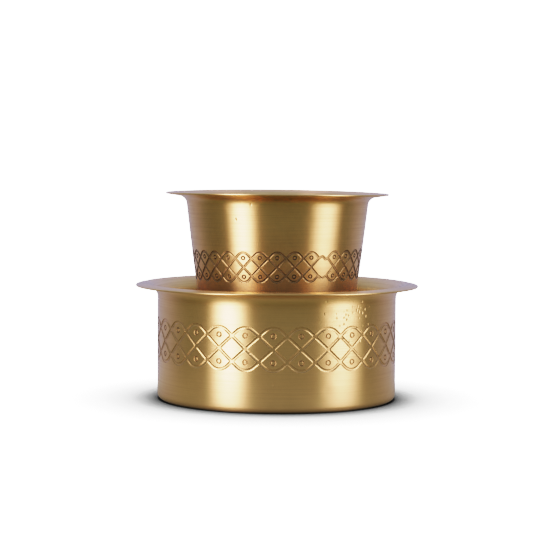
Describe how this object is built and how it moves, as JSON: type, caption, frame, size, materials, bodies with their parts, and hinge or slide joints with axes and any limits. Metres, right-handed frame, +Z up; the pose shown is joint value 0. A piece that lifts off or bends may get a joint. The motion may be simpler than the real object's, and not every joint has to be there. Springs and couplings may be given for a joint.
{
  "type": "dabara and tumbler set",
  "caption": "Tapered brass coffee tumbler with a flared lip, standing in a shallow flanged brass bowl that a hot drink is poured to and fro with to cool it.",
  "frame": {"origin": "centre of the bowl's underside, on the surface that the set stands on", "axes": "+Z up along the common axis of the bowl and the tumbler; both are round, so X and Y are free"},
  "size_m": [0.109, 0.109, 0.0797],
  "materials": {
    "bowl_brass": "spun and brushed round its axis, satin, with a rolled lattice band",
    "tumbler_brass": "spun and brushed round its axis, satin, with dark patina in a rolled lattice band"
  },
  "bodies": {
    "dabara": {"dabara_bowl": "bowl_brass"},
    "tumbler": {"tumbler": "tumbler_brass"}
  },
  "joints": [
    {"name": "tumbler_lift", "type": "slide", "parent": "dabara", "child": "tumbler", "axis": [0, 0, 1], "range_m": [0, 0.08]}
  ]
}
